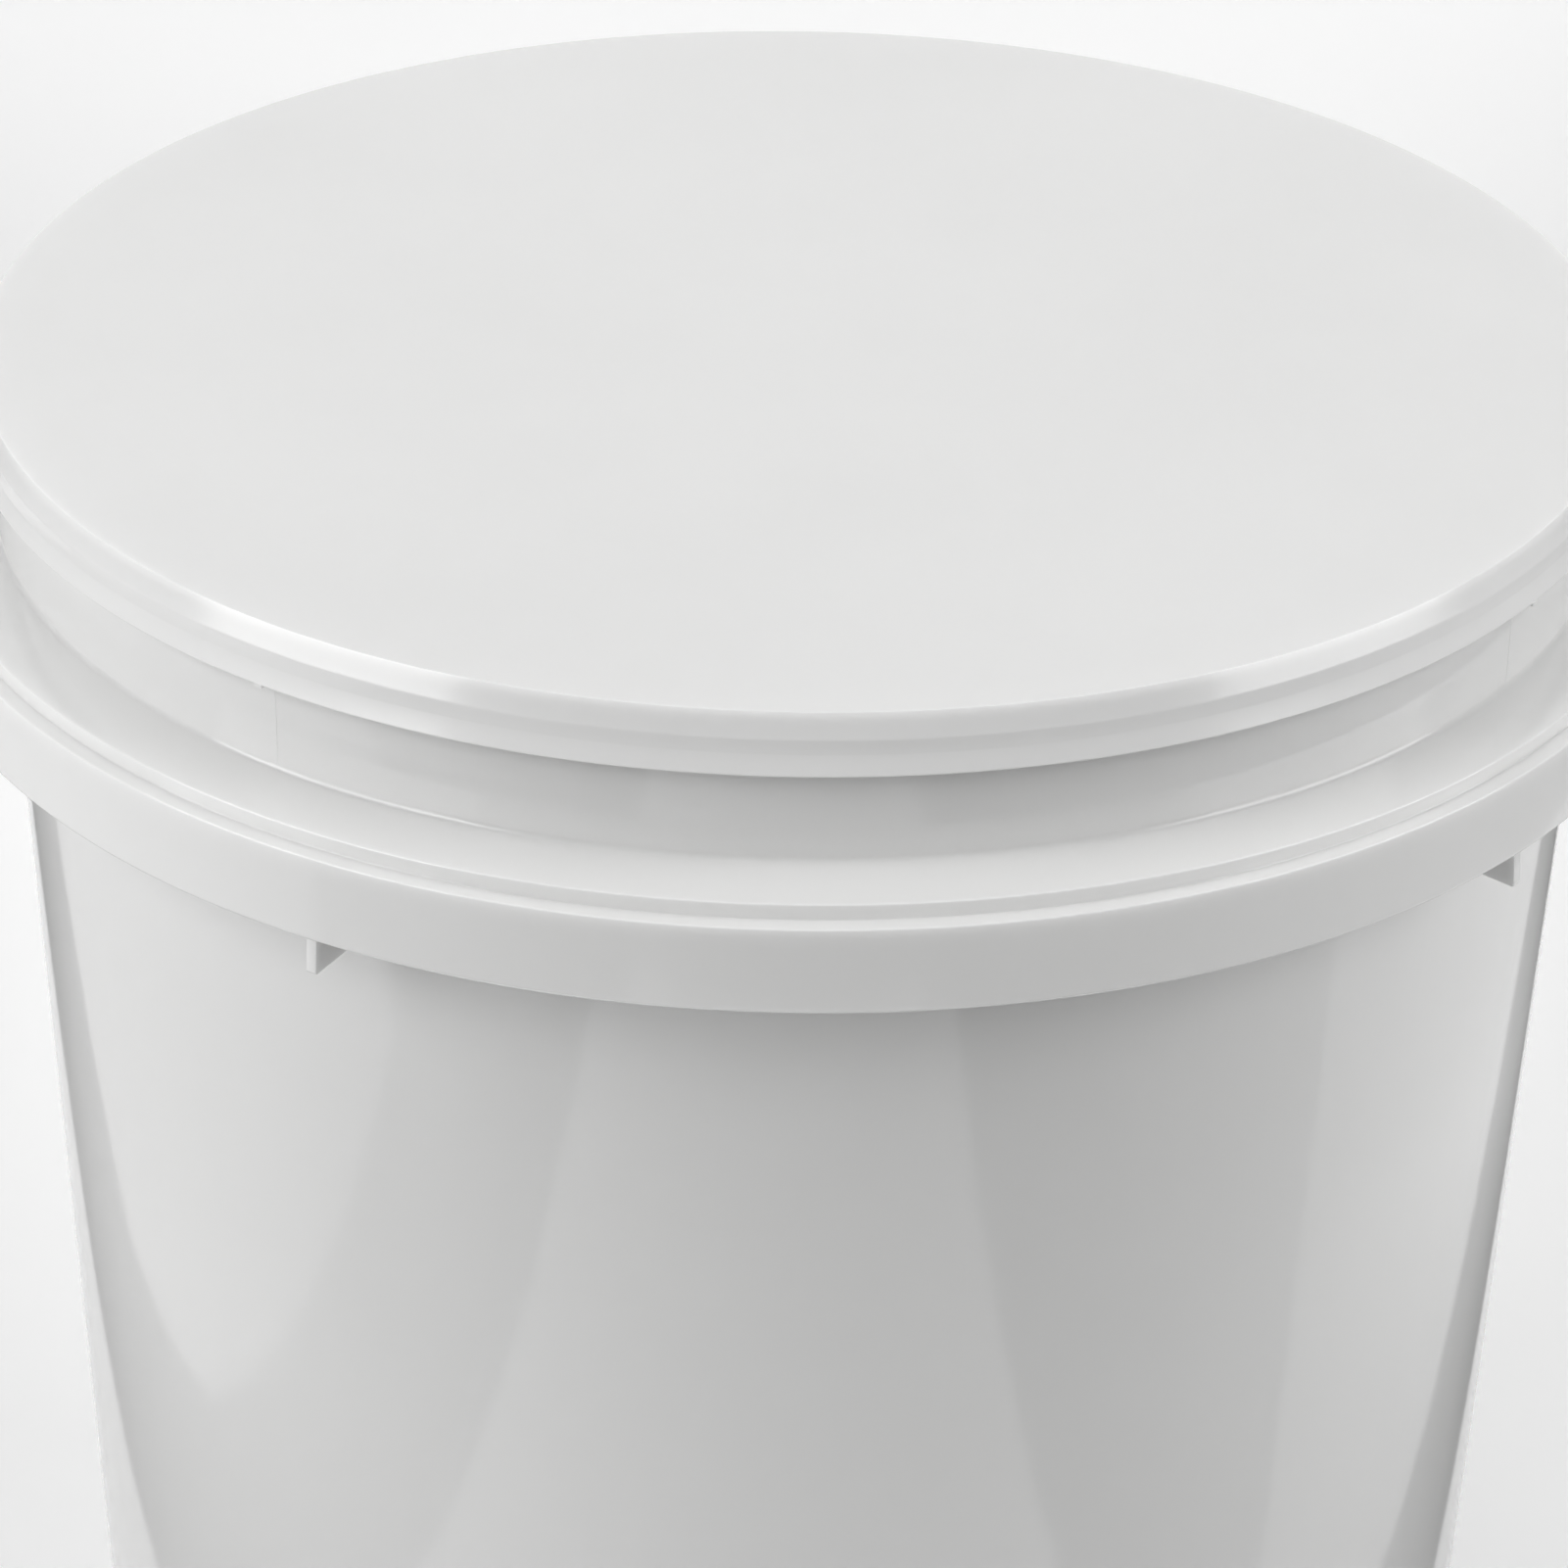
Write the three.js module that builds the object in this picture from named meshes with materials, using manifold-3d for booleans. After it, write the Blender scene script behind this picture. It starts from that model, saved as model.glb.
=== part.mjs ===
// A 20 litre paint bucket with its snap lid on, in millimetres, +Z up, standing on z = 0.
// The bucket's front looks along -Y and its handle pivots on the X axis.
import * as THREE from 'three';
import { mergeVertices } from 'three/addons/utils/BufferGeometryUtils.js';
import Module from 'manifold-3d';

const wasm = await Module();
wasm.setup();

// Bucket wall
const WALL = 1.8;             // wall of the bucket and sheet of its collar
const WALL_SLOPE = 0.035;     // how far the wall leans outwards per millimetre of height
const NECK_RADIUS = 146.2;    // outside of the upright neck above the collar
const FLOOR_THICKNESS = 2.2;
const FOOT_HEIGHT = 5;        // the floor is raised by this much inside the foot ring
const FOOT_THICKNESS = 2.6;
const FOOT_ROUND = 1.2;
const FLOOR_FILLET = 5;       // inside corner between floor and wall

// Collar: a hollow ring in steps round the neck, open below
const COLLAR_HEIGHT = 326;    // of the skirt's bottom edge above the ground
const SKIRT_HEIGHT = 15.1;
const SKIRT_DRAFT = 0.7;      // how much narrower the skirt is at its top
const LEDGE_WIDTH = 3.1;
const RISER_HEIGHT = 2.7;
const SHELF_WIDTH = 12;
const SHELF_FALL = 1.1;       // the shelf drains outwards
const NECK_HEIGHT = 24;       // from the shelf's inner edge up to the rim
const NECK_FILLET = 2.2;
const EDGE_ROUND = 0.6;
const RIM_ROUND = 0.4;

// Gussets under the collar, as azimuths from the bucket's front
const GUSSET_AZIMUTHS = [-141.5, -38.5, 38.5, 141.5];
const GUSSET_THICKNESS = 1.8;
const GUSSET_DROP = 5.6;      // how far they reach below the skirt
const GUSSET_ROUND = 0.8;

// Ears that carry the handle
const EAR_RADIUS = 12.5;
const EAR_THICKNESS = 5.5;
const EAR_PROUD = 2.2;        // how far the ear stands out of the collar
const EAR_HEIGHT = 1.5;       // of the pivot above the skirt's bottom edge
const EAR_WEB = 2;            // thickness of the two webs behind the ear
const EAR_WEB_SETBACK = 1;    // how far the webs end behind the ear's face
const PIN_RADIUS = 3.6;
const PIN_CLEARANCE = 0.35;

// Lid
const LID_SHEET = 1.9;        // the flat panel and the roof of the rim channel
const LID_CLEARANCE = 0.4;    // on both sides of the bucket's rim
const PLUG_DEPTH = 12;
const PLUG_THICKNESS = 1.5;
const PLUG_RIB_COUNT = 24;
const PLUG_RIB_LENGTH = 14;
const PLUG_RIB_THICKNESS = 1.4;
const PLUG_RIB_TOE = 0.5;     // depth of a rib at its inner end
const PLUG_RIB_RISE = 3.6;    // how far a rib ends above the plug wall's foot
const CREST_ROUND = 0.8;

// The lid's lip: its heights are above its bottom edge, its widths outside the crest
const LIP_HEIGHT = 10.1;
const LIP_WALL = 0.6;         // at the crest, where the lip is thinnest
const LIP_SHOULDER_HEIGHT = 8.2;
const LIP_BULGE = 1.0;
const LIP_BULGE_HEIGHT = 5.9;
const LIP_GROOVE = 0.55;
const LIP_GROOVE_HEIGHT = 3.8;
const LIP_SWEEP = 1.45;       // halfway down the flare below the groove
const LIP_SWEEP_HEIGHT = 2.1;
const LIP_FLARE = 3.0;
const LIP_EDGE = 1.5;         // width of the bottom edge
const LIP_EDGE_ROUND = 0.4;
const LIP_MOUTH_HEIGHT = 3.4; // where the channel inside starts to widen
const LIP_MOUTH_ROUND = 1.5;

// Seal in the rim channel
const SEAL_THICKNESS = 1.2;
const SEAL_CLEARANCE = 0.3;

// Handle: one moulding, lying against the back of the bucket
const HANDLE_CLEARANCE = 0.4;
const STRAP_THICKNESS = 4;
const STRAP_WIDTH = 12;
const STRAP_ROUND = 0.8;
const EYE_RADIUS = 9;
const GRIP_LENGTH = 110;
const GRIP_THICKNESS = 9;
const GRIP_WIDTH = 20;
const GRIP_ROUND = 2.6;
const PIN_HEAD = 1;           // how far the pin's snap head stands out
const PIN_HEAD_LENGTH = 2.4;

// Fineness of the round shapes
const SEGMENTS = 84;
const BAR_SEGMENTS = 24;
const BOW_STEPS_PER_RADIAN = 20;
const OVERRUN = 1;            // how far a cut or a join runs past a face

// Heights and radii that follow from the sizes above
const ledgeZ = COLLAR_HEIGHT + SKIRT_HEIGHT;
const shelfEdgeZ = ledgeZ + RISER_HEIGHT;
const shelfZ = shelfEdgeZ + SHELF_FALL;
const rimZ = shelfZ + NECK_HEIGHT;
const shelfRadius = NECK_RADIUS + SHELF_WIDTH;
const ledgeRadius = shelfRadius + LEDGE_WIDTH;
const collarRadius = ledgeRadius + SKIRT_DRAFT;
const neckBore = NECK_RADIUS - WALL;
const channelRoofZ = rimZ + SEAL_THICKNESS;
const lidTopZ = channelRoofZ + LID_SHEET;
const plugRadius = neckBore - LID_CLEARANCE;
const plugFootZ = channelRoofZ - PLUG_DEPTH;
const lipBore = NECK_RADIUS + LID_CLEARANCE;
const pivotZ = COLLAR_HEIGHT + EAR_HEIGHT;
const earFace = collarRadius + EAR_PROUD;
const earBack = earFace - EAR_THICKNESS;
const eyeFace = earFace + HANDLE_CLEARANCE;
const strapInside = Math.hypot(earFace, EAR_RADIUS) + HANDLE_CLEARANCE;
const strapOutside = strapInside + STRAP_THICKNESS;

/** Outer radius of the leaning wall at height z. */
function wallRadius(z) {
  return NECK_RADIUS - WALL_SLOPE * (shelfZ - z);
}

/** Turns a closed three.js geometry into a solid. */
function solidOf(geometry, matrix = new THREE.Matrix4()) {
  const bare = geometry.clone().applyMatrix4(matrix);
  bare.deleteAttribute('normal');
  bare.deleteAttribute('uv');
  const merged = mergeVertices(bare, 1e-4);
  const index = merged.index.array;
  const triangles = [];
  for (let i = 0; i < index.length; i += 3) {
    const [a, b, c] = [index[i], index[i + 1], index[i + 2]];
    if (a !== b && b !== c && c !== a) {
      triangles.push(a, b, c);
    }
  }
  const mesh = new wasm.Mesh({
    numProp: 3,
    vertProperties: new Float32Array(merged.attributes.position.array),
    triVerts: new Uint32Array(triangles),
  });
  return new wasm.Manifold(mesh);
}

/** Turns a solid back into a three.js geometry. */
function geometryOf(solid) {
  const mesh = solid.getMesh();
  const geometry = new THREE.BufferGeometry();
  geometry.setAttribute('position', new THREE.BufferAttribute(mesh.vertProperties, 3));
  geometry.setIndex(new THREE.BufferAttribute(mesh.triVerts, 1));
  return geometry.toNonIndexed();
}

/** Rounds the corners of an outline; a corner is [x, y, radius]. */
function rounded(corners, steps = 2) {
  const points = [];
  corners.forEach(([x, y, radius = 0], i) => {
    const corner = new THREE.Vector2(x, y);
    const before = corners[i - 1];
    const after = corners[i + 1];
    if (!radius || !before || !after) {
      points.push(corner);
      return;
    }
    const back = new THREE.Vector2(before[0] - x, before[1] - y).normalize();
    const ahead = new THREE.Vector2(after[0] - x, after[1] - y).normalize();
    const reach = radius / Math.tan(Math.acos(back.dot(ahead)) / 2);
    const start = corner.clone().addScaledVector(back, reach);
    const end = corner.clone().addScaledVector(ahead, reach);
    points.push(...new THREE.QuadraticBezierCurve(start, corner, end).getPoints(steps));
  });
  return points;
}

/** Solid of revolution about Z from an outline of (radius, height) points, anticlockwise. */
function revolve(points) {
  const turned = new THREE.LatheGeometry(points, SEGMENTS);
  return solidOf(turned, new THREE.Matrix4().makeRotationX(Math.PI / 2));
}

/** Plate of the given thickness, its outline drawn in (radius, height), standing at an azimuth. */
function radialPlate(outline, thickness, azimuth) {
  const plate = new THREE.ExtrudeGeometry(new THREE.Shape(outline), {
    depth: thickness,
    bevelEnabled: false,
    curveSegments: 6,
  });
  plate.translate(0, 0, -thickness / 2);
  const place = new THREE.Matrix4().makeRotationZ(azimuth);
  return solidOf(plate, place.multiply(new THREE.Matrix4().makeRotationX(Math.PI / 2)));
}

/** Round bar along X from x0 to x1, its axis at height z. */
function barAlongX(radius, x0, x1, z) {
  const bar = new THREE.CylinderGeometry(radius, radius, x1 - x0, BAR_SEGMENTS);
  const place = new THREE.Matrix4().makeTranslation((x0 + x1) / 2, 0, z);
  return solidOf(bar, place.multiply(new THREE.Matrix4().makeRotationZ(-Math.PI / 2)));
}

/** Angle about Z of an azimuth that is counted from the bucket's front, in degrees. */
function fromFront(degrees) {
  return THREE.MathUtils.degToRad(degrees - 90);
}

/** Outline of the bucket's wall, neck, rim and collar, all one sheet. */
function bucketOutline() {
  const shelfUnder = shelfZ - WALL;
  const floorZ = FOOT_HEIGHT + FLOOR_THICKNESS;
  return rounded([
    [0, FOOT_HEIGHT],
    [wallRadius(0) - FOOT_THICKNESS, FOOT_HEIGHT],
    [wallRadius(0) - FOOT_THICKNESS, 0],
    [wallRadius(0), 0, FOOT_ROUND],
    [wallRadius(shelfUnder), shelfUnder],
    [shelfRadius - WALL, shelfEdgeZ - WALL],
    [shelfRadius - WALL, ledgeZ - WALL],
    [ledgeRadius - WALL, ledgeZ - WALL],
    [collarRadius - WALL, COLLAR_HEIGHT],
    [collarRadius, COLLAR_HEIGHT, EDGE_ROUND],
    [ledgeRadius, ledgeZ, EDGE_ROUND],
    [shelfRadius, ledgeZ],
    [shelfRadius, shelfEdgeZ, EDGE_ROUND],
    [NECK_RADIUS, shelfZ, NECK_FILLET],
    [NECK_RADIUS, rimZ, RIM_ROUND],
    [neckBore, rimZ, RIM_ROUND],
    [neckBore, shelfZ],
    [wallRadius(floorZ) - WALL, floorZ, FLOOR_FILLET],
    [0, floorZ],
  ]);
}

/** One upright gusset plate between the wall and the skirt, inside the hollow collar. */
function gusset(azimuth) {
  const bite = WALL / 2;
  const foot = COLLAR_HEIGHT - GUSSET_DROP;
  const outline = rounded([
    [wallRadius(foot) - bite, foot],
    [collarRadius - bite / 2, foot, GUSSET_ROUND],
    [collarRadius - bite, COLLAR_HEIGHT + bite],
    [ledgeRadius - bite, ledgeZ - bite],
    [shelfRadius - bite, ledgeZ - bite],
    [shelfRadius - bite, shelfEdgeZ - bite],
    [wallRadius(shelfZ) - bite, shelfZ - bite],
  ]);
  return radialPlate(outline, GUSSET_THICKNESS, azimuth);
}

/** One ear at +X: a round plate through the skirt, with two webs back to the wall. */
function ear() {
  const plate = barAlongX(EAR_RADIUS, earBack, earFace, pivotZ);
  const webInside = wallRadius(pivotZ) - WALL / 2;
  const webOutside = earFace - EAR_WEB_SETBACK;
  const webs = [-1, 1].map((side) => {
    const web = new THREE.BoxGeometry(webOutside - webInside, EAR_WEB, EAR_RADIUS);
    const y = side * (EAR_RADIUS - EAR_WEB);
    return solidOf(web.translate((webInside + webOutside) / 2, y, pivotZ));
  });
  return plate.add(webs[0]).add(webs[1]);
}

/** The same solid turned half round the Z axis. */
function opposite(solid) {
  return solid.rotate([0, 0, 180]);
}

function bucketBody() {
  let body = revolve(bucketOutline());
  for (const azimuth of GUSSET_AZIMUTHS) {
    body = body.add(gusset(fromFront(azimuth)));
  }
  const boreRadius = PIN_RADIUS + PIN_CLEARANCE;
  const bore = barAlongX(boreRadius, earBack - OVERRUN, earFace + OVERRUN, pivotZ);
  for (const turn of [(solid) => solid, opposite]) {
    body = body.add(turn(ear())).subtract(turn(bore));
  }
  return body;
}

/** Outline of the lid: panel, plug wall, rim channel and the lip that hooks over the rim. */
function lidOutline() {
  const plugBore = plugRadius - PLUG_THICKNESS;
  const lipFoot = lidTopZ - LIP_HEIGHT;
  const crest = lipBore + LIP_WALL;
  const lipRadius = crest + LIP_FLARE;
  const lip = new THREE.SplineCurve([
    new THREE.Vector2(lipRadius, lipFoot + LIP_EDGE_ROUND),
    new THREE.Vector2(crest + LIP_SWEEP, lipFoot + LIP_SWEEP_HEIGHT),
    new THREE.Vector2(crest + LIP_GROOVE, lipFoot + LIP_GROOVE_HEIGHT),
    new THREE.Vector2(crest + LIP_BULGE, lipFoot + LIP_BULGE_HEIGHT),
    new THREE.Vector2(crest + LIP_GROOVE, lipFoot + LIP_SHOULDER_HEIGHT),
  ]).getPoints(8);
  return [
    new THREE.Vector2(0, channelRoofZ),
    ...rounded([
      [plugBore, channelRoofZ],
      [plugBore, plugFootZ],
      [plugRadius, plugFootZ],
      [plugRadius, channelRoofZ],
      [lipBore, channelRoofZ],
      [lipBore, lipFoot + LIP_MOUTH_HEIGHT, LIP_MOUTH_ROUND],
      [lipRadius - LIP_EDGE, lipFoot],
      [lipRadius - LIP_EDGE_ROUND, lipFoot],
    ]),
    ...lip,
    ...rounded([
      [crest + LIP_GROOVE, lipFoot + LIP_SHOULDER_HEIGHT],
      [crest, lidTopZ, CREST_ROUND],
      [0, lidTopZ],
    ]).slice(1),
  ];
}

/** Stiffening rib under the panel's edge, standing against the plug wall. */
function plugRib(azimuth) {
  const outside = plugRadius - PLUG_THICKNESS / 2;
  const top = channelRoofZ + LID_SHEET / 2;
  const outline = [
    new THREE.Vector2(outside - PLUG_RIB_LENGTH, top),
    new THREE.Vector2(outside - PLUG_RIB_LENGTH, channelRoofZ - PLUG_RIB_TOE),
    new THREE.Vector2(outside, plugFootZ + PLUG_RIB_RISE),
    new THREE.Vector2(outside, top),
  ];
  return radialPlate(outline, PLUG_RIB_THICKNESS, azimuth);
}

function lid() {
  let solid = revolve(lidOutline());
  for (let i = 0; i < PLUG_RIB_COUNT; i += 1) {
    solid = solid.add(plugRib(((i + 0.5) / PLUG_RIB_COUNT) * 2 * Math.PI));
  }
  return solid;
}

/** Flat ring that the lid presses on the bucket's rim. */
function seal() {
  const inside = plugRadius + SEAL_CLEARANCE;
  const outside = lipBore - SEAL_CLEARANCE;
  return revolve([
    new THREE.Vector2(inside, rimZ),
    new THREE.Vector2(outside, rimZ),
    new THREE.Vector2(outside, channelRoofZ),
    new THREE.Vector2(inside, channelRoofZ),
    new THREE.Vector2(inside, rimZ),
  ]);
}

/** Flat bow between two radii, over an angle either side of its middle, extruded to a width. */
function bow(inside, outside, halfAngle, width, bevel) {
  const shape = new THREE.Shape();
  const from = Math.PI / 2 - halfAngle;
  const to = Math.PI / 2 + halfAngle;
  shape.absarc(0, 0, outside - bevel, from, to, false);
  shape.absarc(0, 0, inside + bevel, to, from, true);
  shape.closePath();
  const bent = new THREE.ExtrudeGeometry(shape, {
    depth: width - 2 * bevel,
    bevelThickness: bevel,
    bevelSize: bevel,
    bevelSegments: 2,
    curveSegments: Math.ceil(halfAngle * BOW_STEPS_PER_RADIAN),
  });
  return solidOf(bent.translate(0, 0, bevel - width / 2));
}

/** Snap pin at the +X end of the handle, with the round eye that carries it. */
function pinnedEye() {
  const headStart = earBack - HANDLE_CLEARANCE;
  const eye = barAlongX(EYE_RADIUS, eyeFace, strapOutside, 0);
  const pin = barAlongX(PIN_RADIUS, headStart - PIN_HEAD_LENGTH, eyeFace + OVERRUN, 0);
  const head = barAlongX(PIN_RADIUS + PIN_HEAD, headStart - PIN_HEAD_LENGTH, headStart, 0);
  return eye.add(pin).add(head);
}

/** The handle in its own plane: pivots on X, its grip at +Y. */
function handle() {
  const gripMiddle = (strapInside + strapOutside) / 2;
  const gripAngle = GRIP_LENGTH / 2 / gripMiddle;
  const strap = bow(strapInside, strapOutside, Math.PI / 2, STRAP_WIDTH, STRAP_ROUND);
  const grip = bow(
    gripMiddle - GRIP_THICKNESS / 2,
    gripMiddle + GRIP_THICKNESS / 2,
    gripAngle,
    GRIP_WIDTH,
    GRIP_ROUND,
  );
  return strap.add(grip).add(pinnedEye()).add(opposite(pinnedEye()));
}

/** How far the handle hangs below level when its grip lies against the bucket's wall. */
function restAngle() {
  const reach = (strapInside + strapOutside - GRIP_THICKNESS) / 2;
  const halfWidth = GRIP_WIDTH / 2;
  const along = reach + WALL_SLOPE * halfWidth;
  const across = halfWidth - WALL_SLOPE * reach;
  const target = wallRadius(pivotZ) + HANDLE_CLEARANCE;
  return Math.acos(target / Math.hypot(along, across)) - Math.atan2(across, along);
}

/** Named mesh of one sub-part. */
function part(name, solid, material) {
  const mesh = new THREE.Mesh(geometryOf(solid), material);
  mesh.name = name;
  return mesh;
}

function plastic(color, roughness) {
  return new THREE.MeshStandardMaterial({ color, roughness, metalness: 0 });
}

const bucket = new THREE.Group();
bucket.add(part('bucket_body', bucketBody(), plastic(0xdcdcda, 0.28)));
bucket.add(part('lid', lid(), plastic(0xe6e6e4, 0.25)));
bucket.add(part('lid_seal', seal(), plastic(0x9a9a98, 0.8)));

const handlePivot = new THREE.Group();
handlePivot.position.z = pivotZ;
handlePivot.rotation.x = -restAngle();
handlePivot.add(part('handle', handle(), plastic(0xdadad8, 0.32)));
bucket.add(handlePivot);

export default bucket;
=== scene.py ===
"""Studio picture of a 20 litre paint bucket with its lid on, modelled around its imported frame."""

from __future__ import annotations

import logging
import math
from dataclasses import dataclass
from enum import Enum

import bpy
from mathutils import Matrix, Vector


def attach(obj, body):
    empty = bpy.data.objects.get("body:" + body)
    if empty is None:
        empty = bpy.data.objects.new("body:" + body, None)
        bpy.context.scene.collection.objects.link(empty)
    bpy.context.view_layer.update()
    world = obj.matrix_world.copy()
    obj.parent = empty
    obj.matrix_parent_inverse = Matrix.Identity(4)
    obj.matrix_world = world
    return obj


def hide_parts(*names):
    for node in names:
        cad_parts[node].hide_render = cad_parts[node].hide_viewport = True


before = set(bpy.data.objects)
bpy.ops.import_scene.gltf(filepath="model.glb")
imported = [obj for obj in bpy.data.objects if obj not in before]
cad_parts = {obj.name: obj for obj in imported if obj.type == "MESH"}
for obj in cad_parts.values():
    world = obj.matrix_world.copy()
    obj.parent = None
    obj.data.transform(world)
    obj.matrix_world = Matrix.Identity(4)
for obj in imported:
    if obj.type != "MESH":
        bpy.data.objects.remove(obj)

LOG = logging.getLogger("paint_bucket")
MM = 0.001
MERGE_DISTANCE = 1e-6
SMOOTH_ANGLE = math.radians(32)
LONG_STRETCH = 4 * MM
BRACE = 0.3 * MM
TURN_STEPS = 360
SEAL_STEPS = 180
BOW_STEPS_PER_RADIAN = 40
ARC_STEPS = 6
RIB_ARC_STEPS = 2
SEAL_ARC_STEPS = 3
BOW_ARC_STEPS = 4
DRUM_SIDES = 64
BEVEL_STEPS = 4
BEVEL_ANGLE = math.radians(60)


class Body(Enum):
    """Rigid bodies of the frame."""

    BUCKET = "bucket"
    LID = "lid"
    HANDLE = "handle"


class Slot(Enum):
    """Material slots of the record."""

    BUCKET = "bucket_plastic"
    LID = "lid_plastic"
    SEAL = "seal_foam"
    HANDLE = "handle_plastic"


@dataclass(frozen=True)
class Corner:
    """Corner of an outline: radius and height in millimetres, and how far it is rounded."""

    across: float
    height: float
    rounding: float = 0.0

    @property
    def point(self) -> Vector:
        """The corner in the XZ plane, in millimetres."""
        return Vector((self.across, 0.0, self.height))


def rounded(corners: list[Corner], steps: int = ARC_STEPS) -> list[Vector]:
    """Turns an outline's corners into points, with an arc at each rounded corner.

    Args:
        corners: The corners in order.
        steps: The number of stretches in one arc.

    Returns:
        Points in metres in the XZ plane.
    """
    points: list[Vector] = []
    last = len(corners) - 1
    for i, corner in enumerate(corners):
        here = corner.point
        if corner.rounding == 0 or i in (0, last):
            points.append(here * MM)
            continue
        back = (corners[i - 1].point - here).normalized()
        ahead = (corners[i + 1].point - here).normalized()
        half = back.angle(ahead) / 2
        centre = here + (back + ahead).normalized() * (corner.rounding / math.sin(half))
        start = here + back * (corner.rounding / math.tan(half)) - centre
        end = here + ahead * (corner.rounding / math.tan(half)) - centre
        for k in range(steps + 1):
            spoke = start.slerp(end, k / steps).normalized() * corner.rounding
            points.append((centre + spoke) * MM)
    return points


def eased(knots: list[tuple[float, float]], steps: int = ARC_STEPS) -> list[Vector]:
    """Draws a smooth curve through (radius, height) knots in millimetres.

    Args:
        knots: The points that the curve passes through.
        steps: The number of stretches between two knots.

    Returns:
        Points in metres in the XZ plane.
    """
    p = [Vector((x, 0.0, z)) for x, z in knots]
    p = [2 * p[0] - p[1], *p, 2 * p[-1] - p[-2]]
    points = []
    for a, b, c, d in zip(p, p[1:], p[2:], p[3:]):
        for k in range(steps):
            t = k / steps
            blend = 2 * b + (c - a) * t + (2 * a - 5 * b + 4 * c - d) * t**2
            points.append((blend + (3 * b - a - 3 * c + d) * t**3) * 0.5 * MM)
    return [*points, p[-2] * MM]


def braced(points: list[Vector]) -> list[Vector]:
    """Adds a point near both ends of each long straight stretch, so that it is shaded flat.

    Args:
        points: An outline in metres.

    Returns:
        The outline with its added points.
    """
    result = [points[0]]
    for start, end in zip(points, points[1:]):
        if (end - start).length > LONG_STRETCH:
            step = (end - start).normalized() * BRACE
            result += [start + step, end - step]
        result.append(end)
    return result


def deselect() -> None:
    """Leaves edit mode and selects nothing."""
    if bpy.context.object and bpy.context.object.mode != "OBJECT":
        bpy.ops.object.mode_set(mode="OBJECT")
    bpy.ops.object.select_all(action="DESELECT")


def select_only(piece: bpy.types.Object) -> None:
    """Selects one piece in object mode and makes it active.

    Args:
        piece: The piece.
    """
    deselect()
    bpy.context.view_layer.objects.active = piece
    piece.select_set(True)


def edit(piece: bpy.types.Object) -> None:
    """Opens a piece in edit mode with all of it selected.

    Args:
        piece: The piece.
    """
    select_only(piece)
    bpy.ops.object.mode_set(mode="EDIT")
    bpy.ops.mesh.select_mode(type="VERT")
    bpy.ops.mesh.select_all(action="SELECT")


def merge_doubles() -> None:
    """Merges the points of the open mesh that coincide and leaves all of it selected."""
    bpy.ops.mesh.select_all(action="SELECT")
    bpy.ops.mesh.remove_doubles(threshold=MERGE_DISTANCE)
    bpy.ops.mesh.select_all(action="SELECT")


def face_outwards() -> None:
    """Turns the faces of the open mesh outwards."""
    bpy.ops.mesh.select_all(action="SELECT")
    bpy.ops.mesh.normals_make_consistent(inside=False)


def settle(piece: bpy.types.Object) -> None:
    """Puts a piece's place into its mesh and smooths its gentle edges.

    Args:
        piece: The piece.
    """
    select_only(piece)
    bpy.ops.object.transform_apply(location=True, rotation=True, scale=True)
    bpy.ops.object.shade_smooth_by_angle(angle=SMOOTH_ANGLE)


def swing(piece: bpy.types.Object, turn: float) -> None:
    """Turns a piece about the Z axis and settles it.

    Args:
        piece: The piece.
        turn: The angle in radians.
    """
    deselect()
    piece.rotation_euler = (0, 0, turn)
    settle(piece)


def turn_to(azimuth: float) -> float:
    """Turns an azimuth from the bucket's front into an angle from the X axis.

    Args:
        azimuth: The azimuth in degrees.

    Returns:
        The angle in radians.
    """
    return math.radians(azimuth - 90)


def chain(name: str, points: list[Vector]) -> bpy.types.Object:
    """Draws a line vertex by vertex and leaves it open in edit mode.

    Args:
        name: The piece's name.
        points: The line's points, in metres.

    Returns:
        The line.
    """
    deselect()
    bpy.ops.mesh.primitive_plane_add(size=MM)
    piece = bpy.context.object
    piece.name = name
    edit(piece)
    bpy.ops.mesh.merge(type="CENTER")
    bpy.ops.transform.translate(value=points[0])
    for here, there in zip(points, points[1:]):
        bpy.ops.mesh.extrude_region_move(TRANSFORM_OT_translate={"value": there - here})
    return piece


def plate(name: str, points: list[Vector], thickness: float, turn: float) -> bpy.types.Object:
    """Makes a flat plate that stands upright in a plane through the Z axis.

    Args:
        name: The piece's name.
        points: Its outline in the XZ plane, in metres.
        thickness: Its thickness in metres.
        turn: Its turn about the Z axis in radians.

    Returns:
        The plate.
    """
    slab = chain(name, [point - Vector((0, thickness / 2, 0)) for point in points])
    bpy.ops.mesh.select_all(action="SELECT")
    bpy.ops.mesh.edge_face_add()
    bpy.ops.mesh.extrude_region_move(TRANSFORM_OT_translate={"value": (0, thickness, 0)})
    face_outwards()
    swing(slab, turn)
    return slab


def revolve(name: str, points: list[Vector], steps: int = TURN_STEPS) -> bpy.types.Object:
    """Draws an outline vertex by vertex and spins it round the Z axis.

    Args:
        name: The piece's name.
        points: The outline in the XZ plane, in metres.
        steps: The number of stretches in the whole turn.

    Returns:
        The closed piece.
    """
    piece = chain(name, braced(points))
    merge_doubles()
    bpy.ops.mesh.spin(steps=steps, angle=math.tau, center=(0, 0, 0), axis=(0, 0, 1))
    merge_doubles()
    face_outwards()
    settle(piece)
    return piece


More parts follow.
